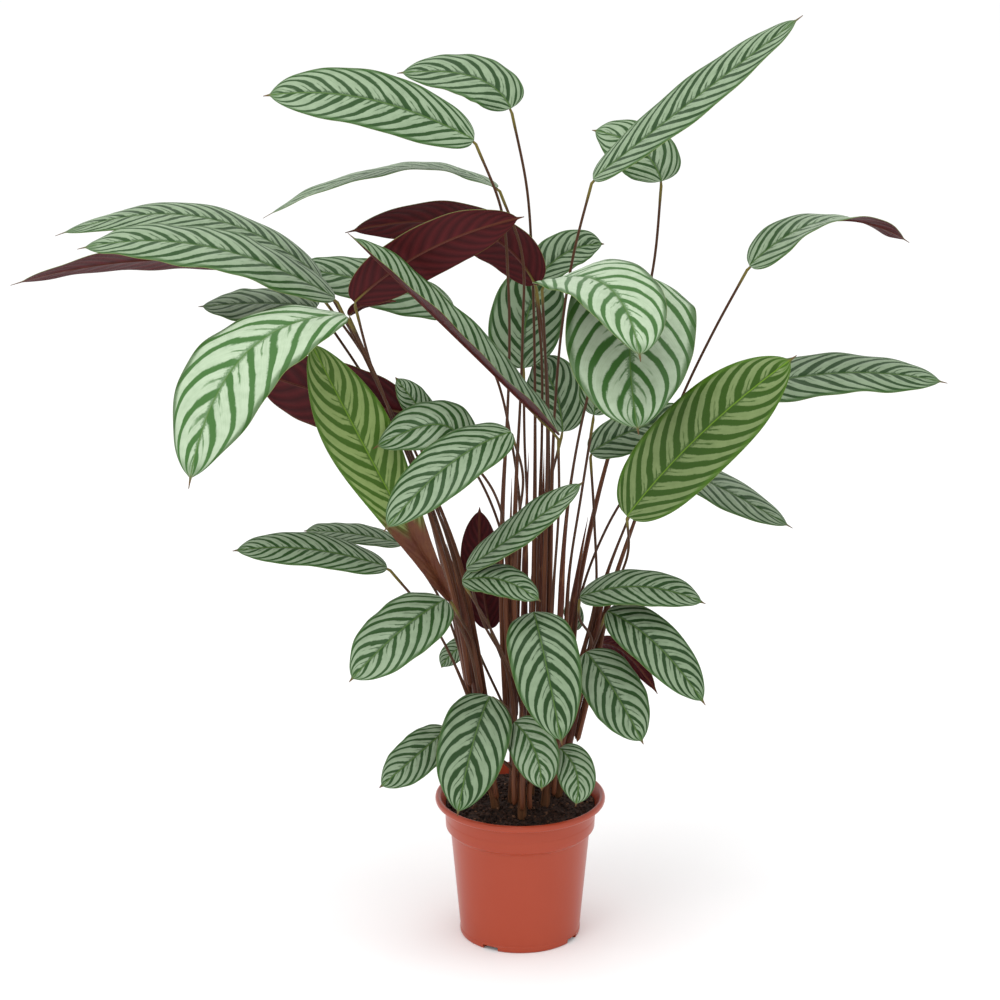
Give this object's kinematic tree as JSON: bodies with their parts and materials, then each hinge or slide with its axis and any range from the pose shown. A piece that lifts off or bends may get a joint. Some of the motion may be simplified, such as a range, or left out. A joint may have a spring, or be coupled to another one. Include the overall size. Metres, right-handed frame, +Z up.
{
  "type": "potted ctenanthe",
  "caption": "House plant with long banded leaves on thin stalks, growing from cane-like shoots in a round plastic nursery pot.",
  "frame": {"origin": "middle of the pot's underside, where it rests", "axes": "+Z up along the pot's axis, -Y the front of the plant, +X to its right"},
  "size_m": [1.094, 0.4289, 1.156],
  "materials": {
    "pot": "terracotta-coloured injection-moulded plastic, semi-gloss",
    "soil": "dark crumbly peat potting soil",
    "shoot": "reddish brown fibrous leaf sheaths",
    "leaf": "silvery grey-green leaf with dark green bands, burgundy underneath, soft satin",
    "young_leaf": "yellow-green young leaf with olive bands, burgundy underneath, soft satin"
  },
  "bodies": {
    "root": {"pot": "pot", "soil": "soil", "left_front_shoot": "shoot", "left_back_shoot": "shoot", "middle_left_shoot": "shoot", "middle_shoot": "shoot", "middle_back_shoot": "shoot", "right_front_shoot": "shoot", "right_shoot": "shoot", "right_back_shoot": "shoot", "front_shoot": "shoot", "crown_left_leaf": "leaf", "crown_back_leaf": "leaf", "crown_thin_leaf": "leaf", "crown_right_leaf": "leaf", "crown_right_back_leaf": "leaf", "right_arching_leaf": "leaf", "maroon_front_leaf": "leaf", "maroon_back_leaf": "leaf", "left_upper_leaf": "leaf", "left_long_leaf": "leaf", "left_far_leaf": "leaf", "left_small_leaf": "leaf", "left_broad_leaf": "leaf", "left_turned_leaf": "leaf", "young_green_leaf": "young_leaf", "left_rolled_leaf": "leaf", "left_low_leaf": "leaf", "left_low_back_leaf": "leaf", "left_round_leaf": "leaf", "inner_left_leaf": "leaf", "inner_upright_leaf": "leaf", "inner_front_leaf": "leaf", "slanting_leaf": "leaf", "middle_hanging_leaf": "leaf", "bright_leaf": "leaf", "folded_tip_leaf": "leaf", "back_grey_leaf": "leaf", "back_low_leaf": "leaf", "back_upright_leaf": "leaf", "brown_upright_leaf": "leaf", "low_dark_leaf": "leaf", "folded_long_leaf": "leaf", "broad_hanging_leaf": "leaf", "inner_small_leaf": "leaf", "low_right_dark_leaf": "leaf", "centre_front_leaf": "leaf", "olive_leaf": "young_leaf", "right_long_leaf": "leaf", "right_low_back_leaf": "leaf", "right_dark_leaf": "leaf", "right_low_leaf": "leaf", "right_shelf_leaf": "leaf", "right_edge_on_leaf": "leaf", "low_back_leaf": "leaf", "pot_rim_leaf": "leaf", "small_front_leaf": "leaf", "small_right_leaf": "leaf", "small_left_leaf": "leaf"}
  },
  "joints": []
}
